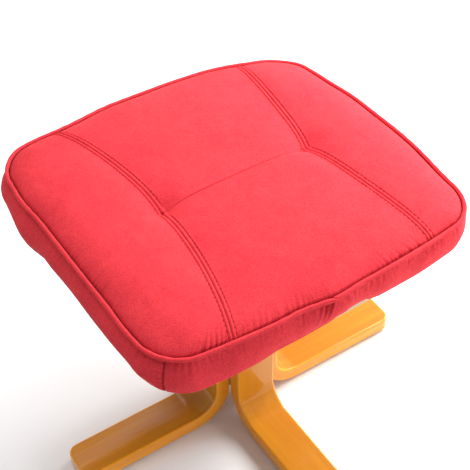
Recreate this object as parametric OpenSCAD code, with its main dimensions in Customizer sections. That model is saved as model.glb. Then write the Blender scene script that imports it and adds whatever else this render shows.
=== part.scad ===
// Padded footstool: a nearly square piped cushion on a cross base of four bent laminated strips.
// Origin on the floor at the centre of the base, +X to the right, -Y to the front, +Z up.

/* [Seat] */
// Width of the seat from end to end, across the piping
seat_w = 460; // [440:2:480]
// Depth of the seat from front to back, across the piping
seat_d = 444; // [424:2:464]
// Corner radius of the seat's outline
seat_r = 44; // [36:1:54]
// How far the left and right ends bow outwards
end_bow = 6.5; // [2:0.5:12]
// How far the front and back sides bow outwards
side_bow = 20; // [8:1:26]
// Height of the piping above the floor at the middle of the front
piping_z = 407; // [400:1:416]
// How much lower the piping lies at the corners
corner_drop = 6; // [0:1:10]
// How much higher the piping lies at the middle of each end
end_rise = 5; // [0:1:8]
// Diameter of the piping
piping_d = 6; // [5:0.5:7]
// Height of the cushion's crown above the piping
crown = 23; // [16:1:30]
// How far the band swells out below the piping
band_bulge = 5; // [2:0.5:8]
// Half the distance between the long seams at their waist
seam_waist = 106; // [96:1:114]
// How far the long seams lie to the right of the centre
seam_shift = 4; // [0:1:8]
// How much further out each long seam lies at the front and back
seam_flare = 35; // [20:1:44]
// Depth of the dimple where each long seam meets the cross seam
dimple = 6; // [2:1:8]
// Radius of that dimple
dimple_r = 28; // [20:1:40]

/* [Padding] */
// Thickness of the cover fabric with its backing
fabric_t = 1; // [0.8:0.1:1.6]
// Thickness of the fibre wadding under the top cover
wadding_t = 6; // [3:0.5:8]
// Thickness of the plywood seat board
board_t = 12; // [9:1:15]
// How far the board and foam stop short of the piping line
board_inset = 6; // [5.5:0.5:9]

/* [Base] */
// Width of each bent strip
strip_w = 60; // [52:1:66]
// Thickness of each bent strip
strip_t = 22; // [18:1:26]
// Rounding of the strips' long edges
arris_r = 3; // [1:0.5:4]
// Radius inside each bend
bend_r = 36; // [30:1:42]
// Reach of each foot from the centre
foot_reach = 264; // [250:1:280]
// Reach of each top arm from the centre
arm_reach = 162; // [150:1:170]
// Corner radius in plan at the ends of the strips
tip_r = 15; // [8:1:20]
// Height of the seat board's underside above the floor
board_z = 360; // [350:1:364]

/* [Fasteners] */
// Thread diameter of the bolts through the post
post_bolt_d = 6; // [5:1:8]
// Outer diameter of the sleeve nuts
sleeve_d = 9; // [8.5:0.5:12]
// Diameter of the flat heads on the post bolts
post_head_d = 17; // [14:1:20]
// Thread diameter of the bolts through the top arms
arm_bolt_d = 6; // [5:1:7]
// Diameter of the washers on the arm bolts
washer_d = 16; // [14:1:20]
// Height of the glide under each foot
glide_h = 3; // [2:0.5:5]
// Diameter of the glide under each foot
glide_d = 24; // [18:1:28]

/* [Hidden] */
$fn = 48;

wood = "#f0a43c";
steel = "#b9bcc0";
cloth = "#e84a58";
cloth_dark = "#cf3b4b";
play = 0.1;             // clearance round a bolt in its nut
cut = 1;                // how far a cutter runs past a face

// Strip path: the post's half width, the bends' centres and the strip's faces
post_h = strip_w / 2;
out_face = post_h + strip_t;
bend_x = out_face + bend_r;
strip_top = board_z - fabric_t;
foot_top = glide_h + strip_t;
low_bend_z = foot_top + bend_r;
high_bend_z = strip_top - strip_t - bend_r;

// Bolts: heights through the post and places along the arms
front_back_z = [150, 262];
left_right_z = [178, 290];
post_hole_d = sleeve_d + 0.4;
post_head_h = 2.5;
sleeve_l = 34;
arm_bolt_x = [128, 148];
arm_hole_d = arm_bolt_d + 0.6;
washer_h = 1.5;
button_d = 11;
button_h = 3.3;
hex_w = 4;
tee_flange_d = 19;
tee_flange_h = 1.2;
tee_barrel_d = arm_bolt_d + 2;
glide_x = foot_reach - 24;
screw_d = 3.5;
screw_l = 16;
screw_head_d = 7.5;
LEG_TURN = [0, 90, 180, 270];

// Seat outline: [x, y, rise] points that run anticlockwise from the right-hand end
arc_n = 8;
side_n = 8;
base_a = seat_w / 2 - end_bow;
base_b = seat_d / 2 - side_bow;
function corner_centre(q) = [
  (q == 0 || q == 3 ? 1 : -1) * (base_a - seat_r),
  (q == 0 || q == 1 ? 1 : -1) * (base_b - seat_r)
];
function arc_point(q, j) = let (g = 90 * (q + j / arc_n)) corner_centre(q) + seat_r * [cos(g), sin(g)];
function side_point(q, k) = let (s = arc_point(q, arc_n), e = arc_point((q + 1) % 4, 0)) s + (e - s) * k / side_n;
function rise(u, v) = end_rise * u * u * (1 - v * v) - corner_drop * u * u * v * v;
function bowed(p) = let (u = p[0] / base_a, v = p[1] / base_b)
  [p[0] + end_bow * u * (1 - v * v), p[1] + side_bow * v * (1 - u * u), rise(u, v)];
OUTLINE = [
  for (q = [0 : 3]) each concat(
    [for (j = [0 : arc_n]) bowed(arc_point(q, j))],
    [for (k = [1 : side_n - 1]) bowed(side_point(q, k))])
];
loop_n = len(OUTLINE);
quarter_n = loop_n / 4;
function along(i) = let (t = OUTLINE[(i + 1) % loop_n] - OUTLINE[(i + loop_n - 1) % loop_n]) [t[0], t[1]] / norm([t[0], t[1]]);
function outward(i) = [along(i)[1], -along(i)[0]];
function inset_point(i, d) = [OUTLINE[i][0], OUTLINE[i][1]] - outward(i) * d;
function inset_loop(d) = [for (i = [0 : loop_n - 1]) inset_point(i, d)];

// Crown: rings from the piping line in to the centre, with a dimple at each tie
tie_x = seam_waist;
tie_y = -2.5;
RINGS = [1, 0.985, 0.955, 0.91, 0.84, 0.74, 0.62, 0.54, 0.47, 0.4, 0.2];
ring_n = len(RINGS);
cover_inset = piping_d / 2 + 0.5;
function dip(p) = dimple * exp(-pow(norm([abs(p[0] - seam_shift) - tie_x, p[1] - tie_y]) / dimple_r, 2));
function crown_z(i, s) = piping_z + OUTLINE[i][2] * s * s + crown * pow(1 - pow(s, 4), 0.6);
function crown_rings(inset, depth) = [
  for (s = RINGS) for (i = [0 : loop_n - 1])
    let (p = inset_point(i, inset) * s) [p[0], p[1], crown_z(i, s) - dip(p) - depth]
];
function ring_faces(from, first, last, up) = [
  for (r = [first : last]) for (i = [0 : loop_n - 1])
    let (a = from + r * loop_n + i, b = from + r * loop_n + (i + 1) % loop_n)
    each up ? [[a, a + loop_n, b + loop_n], [a, b + loop_n, b]] : [[a, b, b + loop_n], [a, b + loop_n, a + loop_n]]
];
function fan_faces(from, tip, up) = [
  for (i = [0 : loop_n - 1]) let (a = from + i, b = from + (i + 1) % loop_n) up ? [a, tip, b] : [a, b, tip]
];

// Band wall: from under the piping, out over the swell, round the roll and in under the board
roll_r = 5;
hem_w = 14;
wall_n = 6;
roll_n = 3;
band_top = piping_z - piping_d / 2 - 0.4;
band_low = strip_top + roll_r;
function wall_side(t) = concat(
  [for (k = [0 : wall_n]) let (s = k / wall_n)
    [band_bulge * sin(180 * s) - t - 0.6 * (1 - s), band_top + (band_low - band_top) * s, 1 - s]],
  [for (k = [1 : roll_n]) let (g = 90 * k / roll_n)
    [(roll_r - t) * cos(g) - roll_r, band_low - (roll_r - t) * sin(g), 0]],
  [[-roll_r - hem_w, strip_top + t, 0]]);
BAND_SECTION = concat(wall_side(0), [for (k = [len(wall_side(0)) - 1 : -1 : 0]) wall_side(fabric_t)[k]]);

// Piping: a folded strip of fabric round a cord, open towards the seam
pipe_n = 6;
pipe_gap = 40;
function pipe_arc(r, from, to) = [
  for (k = [0 : pipe_n]) let (g = from + (to - from) * k / pipe_n) [r * cos(g), piping_z + r * sin(g), 1]
];
cord_r = piping_d / 2 - fabric_t * 0.8;
PIPE_SECTION = concat(
  pipe_arc(piping_d / 2, 180 - pipe_gap, pipe_gap - 180),
  pipe_arc(cord_r + 0.1, pipe_gap - 180, 180 - pipe_gap));
CORD_SECTION = [for (k = [0 : 5]) [cord_r * cos(-60 * k), piping_z + cord_r * sin(-60 * k), 1]];

// Cords that pull the cover down, each held by a toggle let into the board's underside
tie_d = 2;
tie_hole_d = 4;
toggle_d = 14;
toggle_h = 3;

// Staples round the underside
STAPLE_AT = [4, 9, 11, 13, 15];
staple_inset = 27;
staple_w = 10;
staple_wire = 0.9;
staple_depth = 8;
dust_inset = 20.5;

// Rounded cross-section of a strip: thickness along X, width along Y
module strip_section() {
  square([strip_t - 2 * arris_r, strip_w], center = true);
  square([strip_t, strip_w - 2 * arris_r], center = true);
  for (x = [-1, 1], y = [-1, 1])
    translate([x * (strip_t / 2 - arris_r), y * (strip_w / 2 - arris_r)]) circle(r = arris_r);
}

// Straight run of strip along +X with its end rounded in plan
module straight_run(from, to) {
  intersection() {
    translate([from, 0, 0]) rotate([90, 0, 90]) linear_extrude(to - from) strip_section();
    translate([0, strip_t, 0]) rotate([90, 0, 0]) linear_extrude(2 * strip_t) {
      translate([from - cut, -strip_w / 2 - cut]) square([to - tip_r - from + cut, strip_w + 2 * cut]);
      translate([from, tip_r - strip_w / 2]) square([to - from, strip_w - 2 * tip_r]);
      for (y = [-1, 1]) translate([to - tip_r, y * (strip_w / 2 - tip_r)]) circle(r = tip_r);
    }
  }
}

// Quarter bend round a centre in the strip's own plane
module bend(centre_y, turn) {
  translate([bend_x, centre_y, 0]) rotate([0, 0, turn])
    rotate_extrude(angle = 90, $fn = 96) translate([bend_r + strip_t / 2, 0]) strip_section();
}

// One C-shaped strip that reaches along +X, with its bores
module bent_strip(bolt_z) {
  difference() {
    rotate([90, 0, 0]) {
      translate([0, glide_h + strip_t / 2, 0]) straight_run(bend_x, foot_reach);
      bend(low_bend_z, 180);
      translate([out_face - strip_t / 2, low_bend_z, 0]) rotate([-90, 0, 0])
        linear_extrude(high_bend_z - low_bend_z) strip_section();
      bend(high_bend_z, 90);
      translate([0, strip_top - strip_t / 2, 0]) straight_run(bend_x, arm_reach);
    }
    for (z = bolt_z) translate([post_h - cut, 0, z]) rotate([0, 90, 0]) cylinder(d = post_hole_d, h = strip_t + 2 * cut);
    for (x = arm_bolt_x) translate([x, 0, strip_top - strip_t - cut]) cylinder(d = arm_hole_d, h = strip_t + 2 * cut);
    translate([glide_x, 0, glide_h - cut]) cylinder(d = screw_d + play, h = screw_l - glide_h + cut);
  }
}

module leg(turn, bolt_z) {
  color(wood) rotate([0, 0, turn]) bent_strip(bolt_z);
}
module leg_front() { leg(270, front_back_z); }
module leg_back() { leg(90, front_back_z); }
module leg_left() { leg(180, left_right_z); }
module leg_right() { leg(0, left_right_z); }

// Square core that the four strips are bolted to, back to back
module centre_post() {
  color("#c98a3a") difference() {
    translate([-post_h, -post_h, low_bend_z + 3]) cube([2 * post_h, 2 * post_h, high_bend_z - low_bend_z - 6]);
    for (z = left_right_z) translate([-strip_w, 0, z]) rotate([0, 90, 0]) cylinder(d = post_hole_d, h = 2 * strip_w);
    for (z = front_back_z) translate([0, strip_w, z]) rotate([90, 0, 0]) cylinder(d = post_hole_d, h = 2 * strip_w);
  }
}

// Places a piece at each through bolt, with +X along the bolt
module at_post_bolts() {
  for (z = left_right_z) translate([0, 0, z]) children();
  for (z = front_back_z) translate([0, 0, z]) rotate([0, 0, 90]) children();
}

// Flat-headed bolt from one strip's face across the post
module post_bolts() {
  color(steel) at_post_bolts() {
    difference() {
      translate([-out_face - post_head_h, 0, 0]) rotate([0, 90, 0]) cylinder(d = post_head_d, h = post_head_h);
      translate([-out_face - post_head_h - cut, 0, 0]) rotate([0, 90, 0]) cylinder(d = hex_w * 1.15, h = 1.6 + cut, $fn = 6);
    }
    translate([-out_face, 0, 0]) rotate([0, 90, 0]) cylinder(d = post_bolt_d, h = 2 * out_face - 4);
  }
}

// Flat-headed sleeve nut that the bolt screws into from the far side
module post_sleeve_nuts() {
  color(steel) at_post_bolts() difference() {
    union() {
      translate([out_face, 0, 0]) rotate([0, 90, 0]) cylinder(d = post_head_d, h = post_head_h);
      translate([out_face - sleeve_l, 0, 0]) rotate([0, 90, 0]) cylinder(d = sleeve_d, h = sleeve_l);
    }
    translate([out_face - sleeve_l - cut, 0, 0]) rotate([0, 90, 0]) cylinder(d = post_bolt_d + play, h = sleeve_l - 1 + cut);
    translate([out_face + post_head_h - 1.2, 0, 0]) rotate([0, 90, 0]) cylinder(d = hex_w * 1.15, h = 1.2 + cut, $fn = 6);
  }
}

// Places a piece under each hole of the top arms
module at_arm_bolts() {
  for (turn = LEG_TURN, x = arm_bolt_x) rotate([0, 0, turn]) translate([x, 0, 0]) children();
}

module arm_bolts() {
  head_z = strip_top - strip_t - washer_h;
  color(steel) at_arm_bolts() difference() {
    union() {
      translate([0, 0, head_z - button_h]) cylinder(d1 = button_d - 3, d2 = button_d, h = button_h);
      translate([0, 0, head_z]) cylinder(d = arm_bolt_d, h = board_z + board_t - 1 - head_z);
    }
    translate([0, 0, head_z - button_h - cut]) cylinder(d = hex_w * 1.15, h = 2 + cut, $fn = 6);
  }
}

module arm_washers() {
  color(steel) at_arm_bolts() translate([0, 0, strip_top - strip_t - washer_h]) difference() {
    cylinder(d = washer_d, h = washer_h);
    translate([0, 0, -cut]) cylinder(d = arm_bolt_d + 4 * play, h = washer_h + 2 * cut);
  }
}

// Flanged nut let into the top of the board
module tee_nuts() {
  color(steel) at_arm_bolts() difference() {
    union() {
      translate([0, 0, board_z + board_t - tee_flange_h]) cylinder(d = tee_flange_d, h = tee_flange_h);
      translate([0, 0, board_z + 1]) cylinder(d = tee_barrel_d, h = board_t - 1);
    }
    translate([0, 0, board_z]) cylinder(d = arm_bolt_d + play, h = board_t + cut);
  }
}

// Nylon disc under the end of a foot, with a countersunk hole
module glide(turn) {
  color("#4a3a2c") rotate([0, 0, turn]) translate([glide_x, 0, 0]) difference() {
    union() {
      cylinder(d1 = glide_d - 2, d2 = glide_d, h = 1);
      translate([0, 0, 1]) cylinder(d = glide_d, h = glide_h - 1);
    }
    translate([0, 0, -cut]) cylinder(d = screw_d + 0.4, h = glide_h + 2 * cut);
    translate([0, 0, -cut]) cylinder(d = screw_head_d + 0.5, h = glide_h - 1 + cut);
  }
}
module glide_front() { glide(270); }
module glide_back() { glide(90); }
module glide_left() { glide(180); }
module glide_right() { glide(0); }

module glide_screws() {
  color(steel) for (turn = LEG_TURN) rotate([0, 0, turn]) translate([glide_x, 0, 0]) {
    translate([0, 0, 0.4]) cylinder(d = screw_head_d, h = glide_h - 1.4);
    translate([0, 0, glide_h - 1]) cylinder(d = screw_d - play, h = screw_l - glide_h);
  }
}

// Places a piece at each staple, with +X along the crown
module at_staples() {
  for (q = [0 : 3], k = STAPLE_AT) let (i = q * quarter_n + k, p = inset_point(i, staple_inset), t = along(i))
    translate([p[0], p[1], 0]) rotate([0, 0, atan2(t[1], t[0])]) children();
}

module staple_legs(w) {
  for (x = [-1, 1])
    translate([x * (staple_w - staple_wire) / 2 - w / 2, -w / 2, strip_top - staple_wire])
      cube([w, w, staple_depth + staple_wire]);
}

module staples() {
  color(steel) at_staples() {
    translate([-staple_w / 2, -staple_wire / 2, strip_top - staple_wire]) cube([staple_w, staple_wire, staple_wire]);
    staple_legs(staple_wire);
  }
}

module at_ties() {
  for (s = [-1, 1]) translate([s * tie_x + seam_shift, tie_y, 0]) children();
}

module seat_board() {
  color("#d9b27c") difference() {
    translate([0, 0, board_z]) linear_extrude(board_t) polygon(inset_loop(board_inset));
    at_arm_bolts() {
      translate([0, 0, board_z - cut]) cylinder(d = tee_barrel_d + 2 * play, h = board_t + 2 * cut);
      translate([0, 0, board_z + board_t - tee_flange_h]) cylinder(d = tee_flange_d + 2 * play, h = tee_flange_h + cut);
    }
    at_ties() translate([0, 0, board_z - cut]) {
      cylinder(d = tie_hole_d, h = board_t + 2 * cut);
      cylinder(d = toggle_d + 4 * play, h = toggle_h + cut);
    }
    at_staples() staple_legs(staple_wire + 2 * play);
  }
}

// Solid under the crown, down to the board
module crown_block(inset, depth, floor_z) {
  top_n = ring_n * loop_n;
  points = concat(
    [for (p = inset_loop(inset)) [p[0], p[1], floor_z]], crown_rings(inset, depth),
    [[0, 0, piping_z + crown - depth], [0, 0, floor_z]]);
  tip = loop_n + top_n;
  polyhedron(points, concat(
    ring_faces(0, 0, ring_n - 1, true), fan_faces(tip - loop_n, tip, true), fan_faces(0, tip + 1, false)), convexity = 4);
}

// Layer that follows the crown, between two depths below its surface
module crown_layer(inset, outer, inner) {
  n = ring_n * loop_n;
  points = concat(
    crown_rings(inset, outer), crown_rings(inset, inner),
    [[0, 0, piping_z + crown - outer], [0, 0, piping_z + crown - inner]]);
  rim = [for (i = [0 : loop_n - 1]) let (j = (i + 1) % loop_n) each [[i, j, n + j], [i, n + j, n + i]]];
  polyhedron(points, concat(
    ring_faces(0, 0, ring_n - 2, true), fan_faces(n - loop_n, 2 * n, true),
    ring_faces(n, 0, ring_n - 2, false), fan_faces(2 * n - loop_n, 2 * n + 1, false), rim), convexity = 6);
}

module foam_block() {
  color("#efe6c0") difference() {
    crown_block(board_inset, fabric_t + wadding_t + 2 * play, board_z + board_t);
    at_ties() translate([0, 0, board_z]) cylinder(d = tie_hole_d, h = 2 * board_t + piping_z - board_z);
  }
}

module wadding() {
  color("#f6f4ee") difference() {
    crown_layer(cover_inset, fabric_t + play, fabric_t + wadding_t + play);
    at_ties() translate([0, 0, board_z]) cylinder(d = tie_hole_d, h = 2 * board_t + piping_z - board_z);
  }
}

// Plan of the middle of the top, between the two long seams
seam_gap = 0.2;
seam_n = 16;
function seam_x(y) = seam_waist + seam_flare * pow(abs(y) / (seat_d / 2), 1.4);
function seam_line(side, gap) = [
  for (k = [-seam_n : seam_n]) let (y = k / seam_n * (seat_d / 2 + cut)) [side * (seam_x(y) + gap) + seam_shift, y]
];
module middle_plan(gap) {
  left = seam_line(-1, gap);
  polygon(concat(seam_line(1, gap), [for (k = [len(left) - 1 : -1 : 0]) left[k]]));
}
module beyond_seams(side) {
  difference() {
    translate([side > 0 ? 0 : -seat_w, -seat_d, 0]) cube([seat_w, 2 * seat_d, 2 * piping_z]);
    translate([0, 0, -cut]) linear_extrude(2 * piping_z + 2 * cut) middle_plan(seam_gap);
  }
}
module between_seams(side) {
  intersection() {
    linear_extrude(2 * piping_z) middle_plan(-seam_gap);
    translate([-seat_w, side > 0 ? tie_y + seam_gap : tie_y - seam_gap - seat_d, 0]) cube([2 * seat_w, seat_d, 2 * piping_z]);
  }
}
module top_cover() { crown_layer(cover_inset, 0, fabric_t); }
module cover_left_panel() { color(cloth) intersection() { top_cover(); beyond_seams(-1); } }
module cover_right_panel() { color(cloth) intersection() { top_cover(); beyond_seams(1); } }
module cover_front_panel() { color(cloth) intersection() { top_cover(); between_seams(-1); } }
module cover_back_panel() { color(cloth) intersection() { top_cover(); between_seams(1); } }

// Section swept round the seat's outline: [offset outwards, height, share of the outline's rise]
module round_the_seat(section) {
  n = len(section);
  points = [
    for (i = [0 : loop_n - 1]) for (s = section)
      let (p = inset_point(i, -s[0])) [p[0], p[1], s[1] + s[2] * OUTLINE[i][2]]
  ];
  faces = [
    for (i = [0 : loop_n - 1]) for (k = [0 : n - 1])
      let (j = (i + 1) % loop_n, m = (k + 1) % n)
      each [[i * n + k, i * n + m, j * n + m], [i * n + k, j * n + m, j * n + k]]
  ];
  polyhedron(points, faces, convexity = 6);
}

// Half of the plan on one side of the two band seams, which are at opposite corners
module band_half(side) {
  seam_turn = atan2(base_b, base_a);
  rotate([0, 0, seam_turn]) translate([-seat_w, side > 0 ? seam_gap : -seam_gap - seat_w, 0])
    cube([2 * seat_w, seat_w, 2 * piping_z]);
}
module band_front_length() { color(cloth_dark) intersection() { round_the_seat(BAND_SECTION); band_half(-1); } }
module band_back_length() { color(cloth_dark) intersection() { round_the_seat(BAND_SECTION); band_half(1); } }
module piping_cover() { color("#f4606a") round_the_seat(PIPE_SECTION); }
module piping_cord() { color("#f2ead8") round_the_seat(CORD_SECTION); }

module dust_cover() {
  color("#26262a") difference() {
    translate([0, 0, strip_top]) linear_extrude(fabric_t) polygon(inset_loop(dust_inset));
    at_arm_bolts() translate([0, 0, strip_top - cut]) cylinder(d = arm_hole_d, h = fabric_t + 2 * cut);
    at_staples() staple_legs(staple_wire + 2 * play);
  }
}

// Cord from the toggle up to the underside of the cover, where the seams cross
module tie_cords() {
  tie_top = piping_z + crown - dimple - fabric_t - 1;
  color("#e8e2d2") at_ties() translate([0, 0, board_z + toggle_h]) cylinder(d = tie_d, h = tie_top - board_z - toggle_h);
}

module tie_toggles() {
  color("#3a3a3e") at_ties() translate([0, 0, board_z]) difference() {
    cylinder(d = toggle_d, h = toggle_h);
    translate([0, 0, -cut]) cylinder(d = toggle_d - 5, h = 1.5 + cut);
  }
}

leg_front();
leg_back();
leg_left();
leg_right();
centre_post();
post_bolts();
post_sleeve_nuts();
arm_bolts();
arm_washers();
tee_nuts();
glide_front();
glide_back();
glide_left();
glide_right();
glide_screws();
seat_board();
foam_block();
wadding();
cover_left_panel();
cover_right_panel();
cover_front_panel();
cover_back_panel();
band_front_length();
band_back_length();
piping_cover();
piping_cord();
dust_cover();
staples();
tie_cords();
tie_toggles();
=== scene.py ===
import math

import bmesh
import bpy
import numpy as np
from mathutils import Matrix, Vector


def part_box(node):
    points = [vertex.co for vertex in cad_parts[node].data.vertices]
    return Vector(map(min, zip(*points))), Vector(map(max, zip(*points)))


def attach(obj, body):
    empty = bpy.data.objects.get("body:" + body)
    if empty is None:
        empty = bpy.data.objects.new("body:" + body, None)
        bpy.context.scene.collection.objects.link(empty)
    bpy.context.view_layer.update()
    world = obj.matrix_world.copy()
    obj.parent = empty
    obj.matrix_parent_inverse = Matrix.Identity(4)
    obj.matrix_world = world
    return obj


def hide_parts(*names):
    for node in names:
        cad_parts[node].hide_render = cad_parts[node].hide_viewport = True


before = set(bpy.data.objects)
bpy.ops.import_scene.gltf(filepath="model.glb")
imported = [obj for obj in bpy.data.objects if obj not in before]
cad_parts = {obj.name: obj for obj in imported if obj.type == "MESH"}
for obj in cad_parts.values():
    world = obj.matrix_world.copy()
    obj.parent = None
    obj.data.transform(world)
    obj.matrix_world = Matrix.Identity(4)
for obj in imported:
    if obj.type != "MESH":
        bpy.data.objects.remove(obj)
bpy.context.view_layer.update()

# Camera: a long lens that looks down on the near left corner of the seat, with the long seams
# running away from it to the right. Nothing of it belongs to the object.
view_turn, view_height, view_roll = math.radians(-32.83), math.radians(44.18), math.radians(-0.82)
view_distance = 1.3697
aim = Vector((-0.0417, -0.0812, 0.407))
back = Vector((
    math.sin(view_turn) * math.cos(view_height),
    -math.cos(view_turn) * math.cos(view_height),
    math.sin(view_height),
))
level_right = Vector((math.cos(view_turn), math.sin(view_turn), 0))
level_up = back.cross(level_right)
right = level_right * math.cos(view_roll) + level_up * math.sin(view_roll)
up = level_up * math.cos(view_roll) - level_right * math.sin(view_roll)
camera_data = bpy.data.cameras.new("camera")
camera_data.lens = 89.02
camera_data.sensor_width = 36
camera_data.shift_x, camera_data.shift_y = -0.0117, 0.001
camera = bpy.data.objects.new("camera", camera_data)
camera.matrix_world = Matrix((
    (right.x, up.x, back.x, aim.x + back.x * view_distance),
    (right.y, up.y, back.y, aim.y + back.y * view_distance),
    (right.z, up.z, back.z, aim.z + back.z * view_distance),
    (0, 0, 0, 1),
))
bpy.context.scene.collection.objects.link(camera)
bpy.context.scene.camera = camera
bpy.context.scene.view_settings.view_transform = "Standard"


# Studio: a pale floor under a close soft light on the right and a broad one overhead, with a weak
# light low in front and a small one that gives the lacquer its glint.
def add_node(tree, kind, inputs=None, **settings):
    made = tree.nodes.new("ShaderNode" + kind)
    for key, value in settings.items():
        setattr(made, key, value)
    for key, value in (inputs or {}).items():
        if isinstance(value, bpy.types.NodeSocket):
            tree.links.new(value, made.inputs[key])
        else:
            made.inputs[key].default_value = value
    return made


def new_material(name, **constants):
    made = bpy.data.materials.new(name)
    made.use_nodes = True
    surface = made.node_tree.nodes["Principled BSDF"]
    for key, value in constants.items():
        surface.inputs[key.replace("_", " ")].default_value = value
    return made, made.node_tree, surface


def soft_light(name, place, towards, width, power, tint=(1, 1, 1)):
    data = bpy.data.lights.new(name, "AREA")
    data.shape, data.size, data.energy, data.color = "SQUARE", width, power, tint
    lamp = bpy.data.objects.new(name, data)
    lamp.location = place
    lamp.rotation_euler = (Vector(towards) - Vector(place)).to_track_quat("-Z", "Y").to_euler()
    bpy.context.scene.collection.objects.link(lamp)


world = bpy.data.worlds.new("studio")
world.use_nodes = True
world.node_tree.nodes["Background"].inputs["Color"].default_value = (1, 1, 1, 1)
world.node_tree.nodes["Background"].inputs["Strength"].default_value = 0.36
bpy.context.scene.world = world
soft_light("key_right", (0.98, 0.15, 0.92), (0.1, 0, 0.4), 0.8, 27)
soft_light("overhead", (-0.1, 0.4, 2.4), (0, 0, 0.38), 2.0, 30)
soft_light("front_low", (1.1, -0.8, 0.42), (0, -0.1, 0.2), 0.9, 7.5)
soft_light("glint", (0.74, -1.1, 0.62), (0.1, 0, 0.1), 0.3, 2.6)

floor_material, tree, surface = new_material("studio_floor", Base_Color=(0.93, 0.93, 0.93, 1), Roughness=0.8)
speckle = add_node(tree, "TexNoise", {"Scale": 40, "Detail": 4})
tree.links.new(
    add_node(tree, "Bump", {"Height": speckle.outputs["Fac"], "Strength": 0.02}).outputs["Normal"],
    surface.inputs["Normal"])
bm = bmesh.new()
bmesh.ops.create_grid(bm, x_segments=4, y_segments=4, size=6)
floor_mesh = bpy.data.meshes.new("floor")
bm.to_mesh(floor_mesh)
bm.free()
floor_mesh.materials.append(floor_material)
floor = bpy.data.objects.new("floor", floor_mesh)
bpy.context.scene.collection.objects.link(floor)


# Bent strips: four C-shaped legs, each pressed from fifteen beech veneers round a form, sawn to
# width, rounded along its edges and sprayed with a clear gloss lacquer. They are bolted back to
# back round the post, and their top arms carry the seat.
def new_piece(name, mesh_source, material, slot, *nodes):
    if isinstance(mesh_source, bmesh.types.BMesh):
        mesh = bpy.data.meshes.new(name)
        mesh_source.to_mesh(mesh)
        mesh_source.free()
    else:
        mesh = mesh_source
    mesh.materials.append(material)
    piece = bpy.data.objects.new(name, mesh)
    bpy.context.scene.collection.objects.link(piece)
    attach(piece, "root")
    if nodes:
        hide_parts(*nodes)
    return piece


def round_over(mesh, angle):
    mesh.shade_smooth()
    mesh.set_sharp_from_angle(angle=math.radians(angle))


leg_low, leg_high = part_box("leg_right")
post_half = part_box("centre_post")[1].x
strip_w = leg_high.y - leg_low.y
strip_t, bend_r, arris_r, tip_r = 0.022, 0.036, 0.003, 0.015
ply_n = 15
ply_t = strip_t / ply_n
arm_reach = 0.162
bend_mid_r = bend_r + strip_t / 2
bend_x = post_half + strip_t + bend_r
low_z, high_z = leg_low.z + strip_t / 2, leg_high.z - strip_t / 2
foot_run, arm_run = leg_high.x - bend_x, arm_reach - bend_x
upright_run = high_z - low_z - 2 * bend_mid_r
bend_run = bend_mid_r * math.pi / 2
strip_run = foot_run + arm_run + upright_run + 2 * bend_run


def bent(along, depth):
    """Place in the strip's own plane of a point so far along it and so far in from its middle ply."""
    along = along - foot_run
    radius = bend_mid_r - depth
    if along < 0:
        return bend_x - along, low_z + depth
    if along < bend_run:
        turn = along / bend_mid_r
        return bend_x - radius * math.sin(turn), low_z + bend_mid_r - radius * math.cos(turn)
    along -= bend_run
    if along < upright_run:
        return bend_x - bend_mid_r + depth, low_z + bend_mid_r + along
    along -= upright_run
    if along < bend_run:
        turn = along / bend_mid_r
        return bend_x - radius * math.cos(turn), high_z - bend_mid_r + radius * math.sin(turn)
    return bend_x + along - bend_run, high_z - depth


lacquered_beech, tree, surface = new_material(
    "lacquered_beech", Roughness=0.4, Specular_IOR_Level=0.12,
    Coat_Weight=0.9, Coat_Roughness=0.06, Coat_IOR=1.38)
strip_place = add_node(tree, "Attribute", attribute_name="strip_place").outputs["Vector"]
places = add_node(tree, "SeparateXYZ", {"Vector": strip_place})
grain = add_node(tree, "TexNoise", {
    "Vector": add_node(tree, "Mapping", {"Vector": strip_place, "Scale": (7, 260, 120)}).outputs["Vector"],
    "Scale": 1, "Detail": 5, "Roughness": 0.6, "Distortion": 0.3})
figure = add_node(tree, "TexNoise", {
    "Vector": add_node(tree, "Mapping", {"Vector": strip_place, "Scale": (2.2, 38, 30)}).outputs["Vector"],
    "Scale": 1, "Detail": 3, "Distortion": 1.4})
flecks = add_node(tree, "TexNoise", {
    "Vector": add_node(tree, "Mapping", {"Vector": strip_place, "Scale": (160, 1700, 900)}).outputs["Vector"],
    "Scale": 1, "Detail": 1})
fleck_mask = add_node(tree, "MapRange", {"Value": flecks.outputs["Fac"], "From Min": 0.62, "From Max": 0.72})
ply_count = add_node(tree, "Math", {0: places.outputs["Z"], 1: 1 / ply_t}, operation="MULTIPLY").outputs[0]
ply_centred = add_node(tree, "Math", {0: ply_count, 1: 0.5}, operation="ADD").outputs[0]
ply_number = add_node(tree, "Math", {0: ply_centred}, operation="FLOOR").outputs[0]
ply_share = add_node(tree, "Math", {0: ply_centred}, operation="FRACT").outputs[0]
ply_tone = add_node(tree, "TexWhiteNoise", {"W": ply_number}, noise_dimensions="1D").outputs["Value"]
glue_near = add_node(tree, "Math", {0: ply_share, 1: 0.5}, operation="SUBTRACT").outputs[0]
glue_far = add_node(tree, "Math", {0: glue_near}, operation="ABSOLUTE").outputs[0]
glue_line = add_node(
    tree, "MapRange", {"Value": glue_far, "From Min": 0.40, "From Max": 0.48}).outputs["Result"]
honey = add_node(tree, "ValToRGB", {"Fac": grain.outputs["Fac"]})
honey.color_ramp.elements[0].position, honey.color_ramp.elements[0].color = 0.30, (0.78, 0.250, 0.005, 1)
honey.color_ramp.elements[1].position, honey.color_ramp.elements[1].color = 0.72, (0.96, 0.410, 0.012, 1)
figured = add_node(tree, "Mix", {
    0: add_node(tree, "MapRange", {"Value": figure.outputs["Fac"], "From Min": 0.42, "From Max": 0.66,
                                   "To Max": 0.45}).outputs["Result"],
    6: honey.outputs["Color"], 7: (0.74, 0.205, 0.005, 1)}, data_type="RGBA")
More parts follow.
